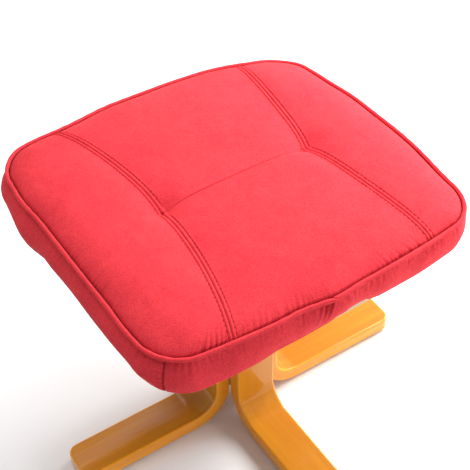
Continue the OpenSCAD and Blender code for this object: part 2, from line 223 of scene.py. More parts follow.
flecked = add_node(tree, "Mix", {
    0: add_node(tree, "Math", {0: fleck_mask.outputs["Result"], 1: 0.35}, operation="MULTIPLY").outputs[0],
    6: figured.outputs[2], 7: (0.34, 0.10, 0.012, 1)}, data_type="RGBA")
plied = add_node(tree, "Mix", {
    0: add_node(tree, "Math", {0: ply_tone, 1: 0.42}, operation="MULTIPLY").outputs[0],
    6: flecked.outputs[2], 7: (0.95, 0.42, 0.025, 1)}, data_type="RGBA")
glued = add_node(tree, "Mix", {
    0: add_node(tree, "Math", {0: glue_line, 1: 0.45}, operation="MULTIPLY").outputs[0],
    6: plied.outputs[2], 7: (0.30, 0.085, 0.010, 1)}, data_type="RGBA")
tree.links.new(glued.outputs[2], surface.inputs["Base Color"])
orange_peel = add_node(tree, "TexNoise", {
    "Vector": add_node(tree, "TexCoord").outputs["Object"], "Scale": 260, "Detail": 2})
grain_bump = add_node(tree, "Bump", {"Height": grain.outputs["Fac"], "Strength": 0.10, "Distance": 0.0004})
peel_bump = add_node(tree, "Bump", {
    "Height": orange_peel.outputs["Fac"], "Strength": 0.05, "Distance": 0.0006,
    "Normal": grain_bump.outputs["Normal"]})
tree.links.new(peel_bump.outputs["Normal"], surface.inputs["Coat Normal"])
tree.links.new(grain_bump.outputs["Normal"], surface.inputs["Normal"])

bend_cuts = 22
for count, (side_name, turn) in enumerate((("right", 0), ("back", 90), ("left", 180), ("front", 270))):
    bm = bmesh.new()
    bmesh.ops.create_cube(bm, size=1)
    bmesh.ops.scale(bm, vec=(strip_run, strip_w, strip_t), verts=bm.verts)
    bmesh.ops.translate(bm, vec=(strip_run / 2, 0, 0), verts=bm.verts)
    ends = [e for e in bm.edges if abs(e.verts[0].co.z - e.verts[1].co.z) > strip_t / 2]
    bmesh.ops.bevel(bm, geom=ends, offset=tip_r, segments=9, profile=0.5, affect="EDGES", material=-1)
    rims = [e for e in bm.edges if e.calc_face_angle(0) > math.radians(60)]
    bmesh.ops.bevel(bm, geom=rims, offset=arris_r, segments=5, profile=0.5, affect="EDGES", material=-1)
    cuts = [foot_run * k / 6 for k in range(1, 6)]
    for start in (foot_run, foot_run + bend_run + upright_run):
        cuts += [start + bend_run * k / bend_cuts for k in range(bend_cuts + 1)]
    cuts += [foot_run + bend_run + upright_run * k / 8 for k in range(1, 8)]
    for cut in cuts:
        bmesh.ops.bisect_plane(
            bm, geom=bm.verts[:] + bm.edges[:] + bm.faces[:], plane_co=(cut, 0, 0), plane_no=(1, 0, 0))
    place_layer = bm.verts.layers.float_vector.new("strip_place")
    spin = Matrix.Rotation(math.radians(turn), 3, "Z")
    for vert in bm.verts:
        vert[place_layer] = (vert.co.x + 1.7 * count, vert.co.y, vert.co.z)
        reach, height = bent(vert.co.x, vert.co.z)
        vert.co = spin @ Vector((reach, -vert.co.y, height))
    bmesh.ops.recalc_face_normals(bm, faces=bm.faces)
    strip = new_piece(side_name + "_bent_strip", bm, lacquered_beech, "lacquered_beech", "leg_" + side_name)
    round_over(strip.data, 35)
    strip.modifiers.new("flat_faces", "WEIGHTED_NORMAL").keep_sharp = True


# Post: a square of planed beech between the four strips, bored both ways for the bolts. Only its
# corners show, in the grooves where the strips' rounded edges meet.
def finish_node(name, material):
    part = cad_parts[name]
    if part.material_slots:
        for holder in part.material_slots:
            holder.material = material
    else:
        part.data.materials.append(material)


def object_noise(tree, scale, stretch=(1, 1, 1), **settings):
    place = add_node(tree, "TexCoord").outputs["Object"]
    stretched = add_node(tree, "Mapping", {"Vector": place, "Scale": stretch}).outputs["Vector"]
    inputs = {"Vector": stretched, "Scale": scale, "Detail": 3}
    inputs.update({key.replace("_", " "): value for key, value in settings.items()})
    return add_node(tree, "TexNoise", inputs).outputs["Fac"]


def two_tone(tree, surface, factor, low_at, low, high_at, high):
    ramp = add_node(tree, "ValToRGB", {"Fac": factor})
    ramp.color_ramp.elements[0].position, ramp.color_ramp.elements[0].color = low_at, (*low, 1)
    ramp.color_ramp.elements[1].position, ramp.color_ramp.elements[1].color = high_at, (*high, 1)
    tree.links.new(ramp.outputs["Color"], surface.inputs["Base Color"])
    return ramp


def bump_from(tree, surface, height, strength, distance):
    made = add_node(tree, "Bump", {"Height": height, "Strength": strength, "Distance": distance})
    tree.links.new(made.outputs["Normal"], surface.inputs["Normal"])


bare_beech, tree, surface = new_material("bare_beech", Roughness=0.62)
lengthwise = object_noise(tree, 1, (320, 320, 9), Detail=5)
two_tone(tree, surface, lengthwise, 0.3, (0.40, 0.22, 0.09), 0.7, (0.62, 0.40, 0.20))
bump_from(tree, surface, lengthwise, 0.3, 0.0004)
finish_node("centre_post", bare_beech)

# Bolts, sleeve nuts, washers, flanged nuts, screws and staples: bright zinc-plated steel with the
# slight cloudiness of the plating. The flat heads stand on the strips' faces.
zinc_steel, tree, surface = new_material("zinc_steel", Metallic=1.0, Roughness=0.3)
clouds = object_noise(tree, 420, Detail=4)
two_tone(tree, surface, clouds, 0.3, (0.46, 0.46, 0.47), 0.75, (0.70, 0.70, 0.69))
roughened = add_node(tree, "MapRange", {"Value": clouds, "To Min": 0.22, "To Max": 0.42})
tree.links.new(roughened.outputs["Result"], surface.inputs["Roughness"])
bump_from(tree, surface, object_noise(tree, 2600), 0.12, 0.0001)
for name in ("post_bolts", "post_sleeve_nuts", "arm_bolts", "arm_washers", "tee_nuts", "glide_screws",
             "staples"):
    finish_node(name, zinc_steel)

# Glides and toggles: turned nylon, brown like the shaded wood. Each glide is a disc held under a
# foot by its screw, and each toggle is let into the board's underside to hold a tie.
nylon, tree, surface = new_material("brown_nylon", Roughness=0.45, Subsurface_Weight=0.05)
scuffs = object_noise(tree, 900, (1, 1, 0.2), Detail=5)
two_tone(tree, surface, scuffs, 0.35, (0.035, 0.022, 0.014), 0.75, (0.075, 0.048, 0.030))
bump_from(tree, surface, scuffs, 0.2, 0.0002)
for name in ("glide_front", "glide_back", "glide_left", "glide_right", "tie_toggles"):
    finish_node(name, nylon)

# Seat board: birch plywood sawn to the seat's outline and bored for the arm bolts' nuts and for the
# ties. It lies hidden between the foam and the dust cover.
plywood, tree, surface = new_material("birch_plywood", Roughness=0.6)
face_grain = object_noise(tree, 1, (5, 150, 1400), Detail=5)
two_tone(tree, surface, face_grain, 0.3, (0.50, 0.33, 0.17), 0.72, (0.74, 0.56, 0.36))
bump_from(tree, surface, face_grain, 0.25, 0.0003)
finish_node("seat_board", plywood)

# Seat outline and cover shape: the line that the piping follows is a rounded rectangle whose sides
# bow outwards and whose corners drop. Two long seams, waisted in plan, and one cross seam between
# them part the top cover into four panels.
cord_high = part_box("piping_cord")[1]
cord_r = 0.0022
half_w, half_d = cord_high.x - cord_r, cord_high.y - cord_r
corner_r, end_bow, side_bow = 0.044, 0.0065, 0.020
corner_drop, end_rise, far_drop = 0.006, 0.005, 0.013
piping_z = cord_high.z - cord_r - end_rise
base_a, base_b = half_w - end_bow, half_d - side_bow
cross_y = -0.002


def rounded_side(share, half_run, half_gap, radius):
    """One side of the unbowed outline from corner middle to corner middle: distance along, distance out."""
    straight = half_run - radius
    along = share * (straight + radius * math.pi / 4)
    turn = np.clip((np.abs(along) - straight) / radius, 0, None)
    run = np.where(turn > 0, np.sign(along) * (straight + radius * np.sin(turn)), along)
    return run, half_gap - radius + radius * np.cos(turn)


def sewn_unevenly(x, y, drawn_in):
    """The plan with the sewn outline's own unevenness, which dies away towards the middle."""
    turn, reach = np.degrees(np.arctan2(y, x)), np.hypot(x, y)
    pulled = np.zeros_like(x)
    for at, width, amount in ((130, 8, 0.0065), (153, 7, 0.0038), (104, 9, 0.0028), (-104, 5, -0.0020),
                              (-91, 6, 0.0030), (-150, 5, 0.0018), (-32, 9, -0.0036), (5, 14, -0.0025),
                              (44, 12, -0.0125), (25, 10, -0.0062)):
        gap = np.mod(turn - at + 180, 360) - 180
        pulled = pulled + amount * (drawn_in if amount < 0 else 1) * np.exp(-(gap / width) ** 2)
    grown = 1 + pulled * (np.clip(reach / 0.225, 0, 1) ** 3) / np.maximum(reach, 0.05)
    return x * grown, y * grown


def plan(u, v, inset=0.0, drawn_in=1.0):
    """Plan of the seat for u and v from -1 to 1, blended from its four sides and then bowed."""
    a, b, radius = base_a - inset, base_b - inset, corner_r - inset
    side_x, side_y = rounded_side(u, a, b, radius)
    end_y, end_x = rounded_side(v, b, a, radius)
    tuck = radius * (1 - math.sin(math.pi / 4))
    x = side_x + u * (end_x - a + tuck)
    y = end_y + v * (side_y - b + tuck)
    p, q = x / a, y / b
    return sewn_unevenly(x + end_bow * p * (1 - q * q), y + side_bow * q * (1 - p * p), drawn_in)


def rise(x, y):
    p, q = np.clip(x / half_w, -1, 1), np.clip(y / half_d, -1, 1)
    far_corner = np.clip(p, 0, 1) ** 3 * np.clip(q, 0, 1) ** 3
    return end_rise * p * p * (1 - q * q) - corner_drop * p * p * q * q - far_drop * far_corner


def seam_left(y):
    return 0.102 + 0.038 * (np.abs(y) / half_d) ** 2.0


def seam_right(y):
    return 0.1105 + 0.033 * (np.abs(y) / half_d) ** 0.85


rim_share = np.linspace(-1, 1, 601)
ones = np.ones_like(rim_share)


def rim_loop(inset, drawn_in=1.0):
    """Points round the outline, anticlockwise from the front left corner's middle, without the last."""
    runs = [plan(rim_share, -ones, inset, drawn_in), plan(ones, rim_share, inset, drawn_in),
            plan(-rim_share, ones, inset, drawn_in), plan(-ones, -rim_share, inset, drawn_in)]
    return np.concatenate([np.stack(run, -1)[:-1] for run in runs])


def share_of_rim(x, y, loop):
    """How far out a point lies, from 0 at the centre to 1 on the loop."""
    loop_turn = np.mod(np.arctan2(loop[:, 1], loop[:, 0]), 2 * math.pi)
    order = np.argsort(loop_turn)
    reach = np.interp(
        np.mod(np.arctan2(y, x), 2 * math.pi), loop_turn[order], np.hypot(*loop[order].T), period=2 * math.pi)
    return np.clip(np.hypot(x, y) / reach, 0, 1)


rim_inset, rim_sink = 0.0030, 0.0024
seam_step, seam_cols = 0.00165, 5
seam_half = seam_step * seam_cols
end_cols, middle_cols, front_rows, back_rows, cross_rows = 34, 74, 72, 70, 2


def even(start, stop, count):
    return start + (stop - start) * np.arange(count) / count


dense = np.linspace(-1, 1, 1201)
below, above = -np.ones_like(dense), np.ones_like(dense)
for _ in range(40):
    middle = (below + above) / 2
    short = plan(dense, middle, rim_inset)[1] < cross_y
    below, above = np.where(short, middle, below), np.where(short, above, middle)
cross_v = (below + above) / 2
row_step = seam_step / half_d
row_places = [-1 + (cross_v - cross_rows * row_step + 1) * k / front_rows for k in range(front_rows)]
row_places += [cross_v + k * row_step for k in range(-cross_rows, cross_rows)]
row_places += [
    cross_v + cross_rows * row_step + (1 - cross_v - cross_rows * row_step) * k / back_rows
    for k in range(back_rows + 1)]
cut_plan = []
for v in row_places:
    xs, ys = plan(dense, v, rim_inset)
    left_x, right_x = np.interp(0, xs + seam_left(ys), xs), np.interp(0, xs - seam_right(ys), xs)
    columns = np.concatenate([
        even(xs[0], left_x - seam_half, end_cols),
        even(left_x - seam_half, left_x + seam_half, 2 * seam_cols),
        even(left_x + seam_half, right_x - seam_half, middle_cols),
        even(right_x - seam_half, right_x + seam_half, 2 * seam_cols),
        even(right_x + seam_half, xs[-1], end_cols), [xs[-1]]])
    cut_plan.append(np.stack([columns, np.interp(columns, xs, ys)], -1))
cut_plan = np.array(cut_plan)
row_n, column_n = cut_plan.shape[:2]
left_column, right_column = end_cols + seam_cols, end_cols + 3 * seam_cols + middle_cols
cross_row = front_rows + cross_rows
plan_x, plan_y = cut_plan[..., 0], cut_plan[..., 1]
outness = share_of_rim(plan_x, plan_y, rim_loop(rim_inset))
left_pull = np.hypot(plan_x - plan_x[cross_row, left_column], plan_y - cross_y)
right_pull = np.hypot(plan_x - plan_x[cross_row, right_column], plan_y - cross_y)
rim_z = piping_z - rim_sink + rise(plan_x, plan_y)
panel_height, seam_height, cross_lift = 0.0195, 0.0158, 0.0028
left_dip, right_dip, dip_r = 0.0090, 0.0086, 0.021
panel_z = rim_z + panel_height * (1 - outness ** 6) ** 0.5
cross_crown = cross_lift * np.clip(1 - ((plan_x - 0.004) / 0.106) ** 2, 0, 1)
held_z = (rim_z + (seam_height + cross_crown) * (1 - outness ** 9) ** 0.6
          - left_dip * np.exp(-(left_pull / dip_r) ** 1.3) - right_dip * np.exp(-(right_pull / dip_r) ** 1.3))
held = np.zeros((row_n, column_n), bool)
held[[0, -1], :] = True
held[:, [0, -1]] = True
for column in (left_column, right_column):
    held[:, column - 3:column + 4] = True
held[cross_row, left_column:right_column + 1] = True
drop = panel_z - held_z
across_left = np.abs(plan_x - plan_x[:, [left_column]]) / (0.013 + 0.9 * drop[:, [left_column]])
across_right = np.abs(plan_x - plan_x[:, [right_column]]) / (0.013 + 0.9 * drop[:, [right_column]])
across_middle = np.abs(plan_y - cross_y) / 0.014 + 9 * (plan_x < plan_x[:, [left_column]]) + 9 * (
    plan_x > plan_x[:, [right_column]])
valley = (
    (drop[:, [left_column]] * np.exp(-across_left ** 1.4)) ** 3
    + (drop[:, [right_column]] * np.exp(-across_right ** 1.4)) ** 3
    + (np.clip(drop[[cross_row], :], 0, 1) * np.exp(-across_middle ** 1.4)) ** 3) ** (1 / 3)
start = np.stack([plan_x, plan_y, np.where(held, held_z, panel_z - valley)], -1)


# Top cover: microvelvet, cut a little full, sewn in at the piping and along the seams and blown out
# between them by the wadding. The cloth is settled by simulation with its sewn lines held.
def grid_mesh(name, points, smooth=True):
    """Mesh of a grid of points, rows first, made from a flat grid."""
    rows, columns = points.shape[:2]
    bm = bmesh.new()
    bmesh.ops.create_grid(bm, x_segments=columns - 1, y_segments=rows - 1, size=1)
    mesh = bpy.data.meshes.new(name)
    bm.to_mesh(mesh)
    bm.free()
    mesh.vertices.foreach_set("co", np.ascontiguousarray(points, dtype=np.float32).reshape(-1))
    mesh.update()
    if smooth:
        mesh.shade_smooth()
    return mesh


def settle(points, held, fullness, pressure, last_frame):
    """Grid of points after its free part has blown out. Fullness is the extra cloth at each point."""
    cloth = bpy.data.objects.new("settling", grid_mesh("settling", points))
    bpy.context.scene.collection.objects.link(cloth)
    cloth.vertex_groups.new(name="held").add(np.flatnonzero(held).tolist(), 1.0, "REPLACE")
    full = cloth.vertex_groups.new(name="full")
    top = fullness.max()
    level_n = 40
    levels = np.round(fullness.reshape(-1) / top * level_n).astype(int)
    for level in range(1, level_n + 1):
        full.add(np.flatnonzero(levels == level).tolist(), level / level_n, "REPLACE")
    modifier = cloth.modifiers.new("cloth", "CLOTH")
    settings = modifier.settings
    settings.quality, settings.mass, settings.air_damping = 5, 0.25, 2
    settings.tension_stiffness = settings.compression_stiffness = 20
    settings.shear_stiffness, settings.bending_stiffness = 8, 0.6
    settings.vertex_group_mass, settings.vertex_group_shrink = "held", "full"
    settings.shrink_min, settings.shrink_max = 0, -float(top)
    settings.use_pressure, settings.uniform_pressure_force = True, pressure
    settings.effector_weights.gravity = 0
    modifier.collision_settings.use_collision = False
    modifier.point_cache.frame_end = last_frame
    for frame_number in range(1, last_frame + 1):
        bpy.context.scene.frame_set(frame_number)
    evaluated = cloth.evaluated_get(bpy.context.evaluated_depsgraph_get())
    settled = np.empty(points.size, dtype=np.float32)
    evaluated.data.vertices.foreach_get("co", settled)
    bpy.data.objects.remove(cloth)
    bpy.context.scene.frame_set(1)
    moved = settled.reshape(points.shape).astype(float) - points
    smoothings = 10
    for _ in range(smoothings):
        around = (moved[:-2, 1:-1] + moved[2:, 1:-1] + moved[1:-1, :-2] + moved[1:-1, 2:]) / 4
        moved[1:-1, 1:-1] = np.where(held[1:-1, 1:-1, None], moved[1:-1, 1:-1], around)
    return points + moved


rim_gap = (1 - outness) * half_w
seam_gap = np.minimum(np.abs(plan_x + seam_left(plan_y)), np.abs(plan_x - seam_right(plan_y)))
fullness = (0.0008 + 0.005 * np.exp(-(rim_gap / 0.018) ** 2) + 0.003 * np.exp(-(seam_gap / 0.014) ** 2)
            + 0.022 * np.exp(-(np.minimum(left_pull, right_pull) / 0.03) ** 2))
top_shape = settle(start, held, fullness, 4.0, 12)


def resampled(points, row_at, column_at):
    """The grid's smooth curve surface at fractional rows and columns."""
    for axis, at in ((0, row_at), (1, column_at)):
        points = np.moveaxis(points, axis, 0)
        first, last = 2 * points[:1] - points[1:2], 2 * points[-1:] - points[-2:-1]
        spread = np.concatenate([first, points, last])
        base = np.minimum(at.astype(int), len(points) - 2)
        t = (at - base).reshape(-1, *[1] * (points.ndim - 1))
        a, b, c, d = (spread[base + k] for k in range(4))
        points = b + 0.5 * t * (c - a + t * (2 * a - 5 * b + 4 * c - d + t * (3 * (b - c) + d - a)))
        points = np.moveaxis(points, 0, axis)
    return points


def grid_normals(points):
    across, upward = np.gradient(points, axis=1), np.gradient(points, axis=0)
    made = np.cross(across, upward)
    return made / np.linalg.norm(made, axis=-1, keepdims=True)


row_at = np.arange(3 * (row_n - 1) + 1) / 3
column_at = np.concatenate([
    even(0, end_cols, 2 * end_cols), even(end_cols, end_cols + 2 * seam_cols, 8 * seam_cols),
    even(end_cols + 2 * seam_cols, column_n - 1 - end_cols - 2 * seam_cols, 2 * middle_cols),
    even(column_n - 1 - end_cols - 2 * seam_cols, column_n - 1 - end_cols, 8 * seam_cols),
    even(column_n - 1 - end_cols, column_n - 1, 2 * end_cols), [column_n - 1]])
top_shape = resampled(top_shape, row_at, column_at)
fine_plan = resampled(cut_plan, row_at, column_at)
fine_x, fine_y = fine_plan[..., 0], fine_plan[..., 1]
normals = grid_normals(top_shape)
left_at = 2 * end_cols + 4 * seam_cols
right_at = len(column_at) - 1 - left_at
cross_at = 3 * cross_row


def hump(distance, width):
    return np.exp(-(distance / width) ** 2)


stitch_out, stitch_pitch = 3 * seam_step, 0.0063
relief = np.zeros_like(fine_x)
for offset in (fine_x + seam_left(fine_y), fine_x - seam_right(fine_y)):
    near = np.abs(offset)
    holes = (0.5 + 0.5 * np.cos(2 * math.pi * fine_y / stitch_pitch)) ** 2
    relief += 0.0008 * hump(near - 0.0026, 0.0014)
    relief -= 0.0010 * hump(offset, 0.0006)
    relief -= (0.0003 + 0.0011 * holes) * hump(near - stitch_out, 0.0007)
    beyond = np.clip(near - stitch_out, 0, None)
    relief += 0.0004 * (0.5 - holes) * np.clip(beyond / 0.0015, 0, 1) * np.exp(-beyond / 0.003)
between_seams = (fine_x > -seam_left(fine_y)) & (fine_x < seam_right(fine_y))
cross_offset = fine_y - cross_y
cross_depth = np.where(between_seams, 0.75 - 2.6 * fine_x, 0)
relief -= 0.0011 * cross_depth * hump(cross_offset, 0.0007)
relief += 0.0003 * cross_depth * hump(np.abs(cross_offset) - 0.0026, 0.0016)
notch = np.hypot(fine_x - fine_x[cross_at, left_at], fine_y - cross_y)
relief -= 0.0012 * hump(notch, 0.0026)


# Where the cover is sewn to the piping its fullness is taken up in short puckers, most of them near
# the front ends of the long seams and along the left end.
rim = rim_loop(0.0)
rim_steps = np.linalg.norm(np.roll(rim, -1, 0) - rim, axis=1)
rim_length = rim_steps.sum()
rim_at = np.concatenate([[0], np.cumsum(rim_steps)])
closed_rim = np.concatenate([rim, rim[:1]])
half_way = rim_at[2 * (len(rim_share) - 1)]
rim_turn = np.arctan2(rim[:, 1], rim[:, 0])
rim_order = np.argsort(rim_turn)
round_at = np.interp(
    np.arctan2(fine_y, fine_x), rim_turn[rim_order], rim_at[:-1][rim_order], period=2 * math.pi)


def front_at(x):
    """Distance round the rim of the point on the front side with this x."""
    front = rim_at[:len(rim_share)]
    return float(np.interp(x, rim[:len(front), 0], front))


pucker_draw = np.random.default_rng(7)
table = np.linspace(0, rim_length, 6001)
pucker_table = np.zeros_like(table)
for middle in np.cumsum(pucker_draw.uniform(0.0035, 0.0085, 400)):
    if middle < rim_length - 0.005:
        size = 0.30
        for near, spread, extra in ((front_at(-0.166), 0.020, 1.0), (front_at(0.100), 0.032, 1.1),
                                    (rim_length - 0.150, 0.050, 0.6), (front_at(-0.070), 0.045, 0.6)):
            size += extra * math.exp(-((middle - near) / spread) ** 2)
        size *= pucker_draw.uniform(0.3, 1.0)
        pucker_table += size * hump(table - middle, pucker_draw.uniform(0.0011, 0.0019))
fine_out = share_of_rim(fine_x, fine_y, rim_loop(rim_inset))
rim_gap = (1 - fine_out) * np.maximum(np.hypot(fine_x, fine_y), 0.15)
pucker_fade = np.clip(rim_gap / 0.0012, 0, 1) * np.exp(-(rim_gap / 0.0105) ** 1.5)
wander = round_at + 0.0018 * np.sin(round_at * 140) * rim_gap / 0.01
relief -= 0.0015 * np.interp(wander, table, pucker_table, period=rim_length) * pucker_fade
# Painted shade: the grooves of seams, stitch holes and puckers, and the crevice beside the piping, get a
# darker share of the velvet's colour.
painted_shade = np.clip(-relief / 0.0020, 0, 1) + hump(rim_gap, 0.0020)
top_shape = top_shape + normals * relief[..., None]

# Velvet: coral polyester microvelvet with a short brushed nap. It is mottled where hands have turned
# the nap, and painted shade darkens it towards a deep red in seams, creases, stitch holes and crevices.
coral_velvet, tree, surface = new_material(
    "coral_velvet", Roughness=0.9, Sheen_Weight=0.22, Sheen_Roughness=0.35, Sheen_Tint=(1.0, 0.42, 0.36, 1),
    Specular_IOR_Level=0.06)
brushed = object_noise(tree, 26, (1, 0.7, 1), Detail=5, Distortion=0.8)
finger_marks = object_noise(tree, 95, (1, 1, 1), Detail=4, Distortion=0.4)
fibre = object_noise(tree, 1900, Detail=2)
tufts = object_noise(tree, 520, Detail=3, Roughness=0.7)
nap = add_node(tree, "Mix", {0: 0.42, 2: brushed, 3: finger_marks}).outputs[0]
nap_tufts = add_node(tree, "Mix", {0: 0.58, 2: nap, 3: tufts}).outputs[0]
nap_fibre = add_node(tree, "Mix", {0: 0.12, 2: nap_tufts, 3: fibre}).outputs[0]
velvet_tone = two_tone(tree, surface, nap_fibre, 0.38, (0.64, 0.032, 0.048), 0.60, (0.87, 0.057, 0.071))
# Painted shade: this attribute mixes the velvet towards a deep red where creases and crevices fall into
# shade.
painted_shade_fac = add_node(tree, "Attribute", attribute_name="painted_shade").outputs["Fac"]
painted_shade_share = add_node(tree, "MapRange", {"Value": painted_shade_fac, "To Max": 0.62}).outputs["Result"]
painted_shade_tone = add_node(
    tree, "Mix", {0: painted_shade_share, 6: velvet_tone.outputs["Color"], 7: (0.30, 0.006, 0.016, 1)},
    data_type="RGBA")
tree.links.new(painted_shade_tone.outputs[2], surface.inputs["Base Color"])
soft_bump = add_node(tree, "Bump", {"Height": finger_marks, "Strength": 0.25, "Distance": 0.0008})
tuft_bump = add_node(tree, "Bump", {
    "Height": tufts, "Strength": 0.8, "Distance": 0.0008, "Normal": soft_bump.outputs["Normal"]})
fibre_bump = add_node(tree, "Bump", {
    "Height": fibre, "Strength": 0.35, "Distance": 0.00025, "Normal": tuft_bump.outputs["Normal"]})
tree.links.new(fibre_bump.outputs["Normal"], surface.inputs["Normal"])


def mark_painted_shade(mesh, shares):
    """Give each point of a cloth mesh its share of painted shade, for its creases and crevices."""
    layer = mesh.attributes.new("painted_shade", "FLOAT", "POINT")
    layer.data.foreach_set("value", np.clip(shares, 0, 1).astype(np.float32).reshape(-1))


fabric_t = 0.001
panels = {
    "left": np.s_[:, :left_at + 1],
    "right": np.s_[:, right_at:],
    "front": np.s_[:cross_at + 1, left_at:right_at + 1],
    "back": np.s_[cross_at:, left_at:right_at + 1],
}
for panel_name, part in panels.items():
    panel = new_piece(
        panel_name + "_cover_panel", grid_mesh(panel_name + "_cover_panel", top_shape[part]), coral_velvet,
        "coral_velvet", f"cover_{panel_name}_panel")
    mark_painted_shade(panel.data, painted_shade[part])
    thickness = panel.modifiers.new("cloth_thickness", "SOLIDIFY")
    thickness.thickness, thickness.offset = fabric_t, -1

# Topstitching: a row of polyester stitches on each side of both long seams, which holds the seam
# allowances down. Each stitch dips into the cloth at its ends.
def lay_stitch(bm, middle, ahead, upward, length, radius):
    """One stitch, thick in its middle, along a given direction on the cloth."""
    ahead = ahead.normalized()
    side = upward.cross(ahead).normalized()
    turn = Matrix((ahead, side, ahead.cross(side))).transposed().to_4x4()
    bmesh.ops.create_uvsphere(
        bm, u_segments=6, v_segments=5, radius=1,
        matrix=Matrix.Translation(middle) @ turn @ Matrix.Diagonal((length / 2, radius, radius, 1))
        @ Matrix.Rotation(math.pi / 2, 4, "Y"))


thread, tree, surface = new_material("stitching_thread", Roughness=0.5)
twist = object_noise(tree, 3000, Detail=1)
two_tone(tree, surface, twist, 0.3, (0.52, 0.018, 0.032), 0.7, (0.70, 0.036, 0.052))
bump_from(tree, surface, twist, 0.4, 0.0001)
for seam_name, column in (("left", left_at), ("right", right_at)):
    bm = bmesh.new()
    for line in (-1, 1):
        across = top_shape[:, column + 12 * line]
        line_at = np.concatenate([[0], np.cumsum(np.linalg.norm(np.diff(across, axis=0), axis=1))])
        count = int((line_at[-1] - 0.012) / stitch_pitch)
        for k in range(count):
            mid = np.array([0.008 + (k + d) * stitch_pitch for d in (0.2, 0.5, 0.8)])
            low, middle, high = (Vector([np.interp(m, line_at, across[:, i]) for i in range(3)]) for m in mid)
            lay_stitch(bm, middle + Vector((0, 0, 0.0002)), high - low, Vector((0, 0, 1)), 0.0042, 0.00030)
    bmesh.ops.recalc_face_normals(bm, faces=bm.faces)
    stitches = new_piece(seam_name + "_seam_stitches", bm, thread, "thread")
    stitches.data.shade_smooth()


# Foam pad and wadding: a block of cream polyurethane foam cut to the board, and over it a layer of
# white polyester wadding that fills the cover up to its seams.
foam_board_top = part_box("seat_board")[1].z
cream_foam, tree, surface = new_material("cream_foam", Roughness=0.9, Subsurface_Weight=0.1)
cells = add_node(tree, "TexVoronoi", {
    "Vector": add_node(tree, "TexCoord").outputs["Object"], "Scale": 900}).outputs["Distance"]
two_tone(tree, surface, cells, 0.1, (0.52, 0.44, 0.24), 0.6, (0.84, 0.77, 0.54))
bump_from(tree, surface, cells, 0.7, 0.0005)
white_wadding, tree, surface = new_material("white_wadding", Roughness=1.0, Sheen_Weight=0.3)
tangle = object_noise(tree, 420, Detail=8, Roughness=0.75, Distortion=2.0)
two_tone(tree, surface, tangle, 0.3, (0.70, 0.70, 0.68), 0.7, (0.90, 0.90, 0.88))
bump_from(tree, surface, tangle, 0.8, 0.0012)


def sunk(depth, reach):
    """The cover's shape, lowered to its lowest nearby point and then drawn inwards by the depth."""
    layer, outward = top_shape[::3, ::2].copy(), normals[::3, ::2]
    rows, columns = layer.shape[:2]
    spread = np.pad(layer[..., 2], reach, mode="edge")
    shifts = [(i, j) for i in range(2 * reach + 1) for j in range(2 * reach + 1)]
    layer[..., 2] = np.min([spread[i:i + rows, j:j + columns] for i, j in shifts], axis=0)
    return layer - outward * depth


inner_shape = sunk(fabric_t + 0.0010, 2)
wadding = new_piece(
    "wadding_layer", grid_mesh("wadding_layer", inner_shape), white_wadding, "wadding", "wadding")
loft = wadding.modifiers.new("loft", "SOLIDIFY")
loft.thickness, loft.offset = 0.0042, -1

foam_top = sunk(0.0070, 3)
foam_u, foam_v = np.meshgrid(
    np.linspace(-1, 1, foam_top.shape[1]), np.linspace(-1, 1, foam_top.shape[0]))
foam_plan = np.stack(plan(foam_u, foam_v, 0.007), -1)
foam_out = share_of_rim(foam_top[..., 0], foam_top[..., 1], rim_loop(0.0))[..., None] ** 6
foam_top[..., :2] = foam_top[..., :2] * (1 - foam_out) + foam_plan * foam_out
bm = bmesh.new()
bm.from_mesh(grid_mesh("foam", foam_top))
under = bmesh.ops.extrude_face_region(bm, geom=bm.faces[:])
for vert in under["geom"]:
    if isinstance(vert, bmesh.types.BMVert):
        vert.co.z = foam_board_top + 0.0002
bmesh.ops.recalc_face_normals(bm, faces=bm.faces)
foam = new_piece("foam_pad", bm, cream_foam, "foam", "foam_block")
round_over(foam.data, 50)

# Ties: at each place where the seams cross, a doubled cotton cord is sewn to the cover from inside
# and runs down through foam and board to a knot in its nylon toggle.
cotton_cord, tree, surface = new_material("cotton_cord", Roughness=0.9)
strands = object_noise(tree, 1500)
two_tone(tree, surface, strands, 0.3, (0.62, 0.58, 0.48), 0.7, (0.80, 0.77, 0.68))
bump_from(tree, surface, strands, 0.6, 0.0003)
toggle_low, toggle_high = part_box("tie_toggles")
bm = bmesh.new()
toggle_r, tie_turns, turn_steps = 0.007, 9, 14
for column, tie_x in ((left_at, toggle_low.x + toggle_r), (right_at, toggle_high.x - toggle_r)):
    tie_top = top_shape[cross_at, column, 2] - 0.0022
    tie_low, tie_y = toggle_low.z + 0.0008, (toggle_low.y + toggle_high.y) / 2
    tie_steps = tie_turns * turn_steps
    for lead in (1, -1):
        ring = bmesh.ops.create_circle(
            bm, cap_ends=True, segments=8, radius=0.00052,
            matrix=Matrix.Translation((tie_x + 0.0005 * lead, tie_y, tie_low)))
        sweep_faces = list({face for vert in ring["verts"] for face in vert.link_faces})
        bmesh.ops.spin(
            bm, geom=sweep_faces, cent=(tie_x, tie_y, tie_low), axis=(0, 0, 1),
            dvec=(0, 0, (tie_top - tie_low) / tie_steps), angle=tie_turns * 2 * math.pi, steps=tie_steps)
    for size in (0.0016, 0.0014):
        loop = bmesh.ops.create_circle(
            bm, segments=8, radius=0.0006,
            matrix=Matrix.Translation((tie_x + size, tie_y, tie_low)) @ Matrix.Rotation(math.pi / 2, 4, "X"))
        loop_edges = list({edge for vert in loop["verts"] for edge in vert.link_edges})
        bmesh.ops.spin(
            bm, geom=loop_edges, cent=(tie_x, tie_y, tie_low), axis=(0, 0, 1), angle=2 * math.pi,
            steps=20, use_merge=True)
bmesh.ops.recalc_face_normals(bm, faces=bm.faces)
ties = new_piece("tie_cord_pair", bm, cotton_cord, "cord", "tie_cords")
round_over(ties.data, 50)

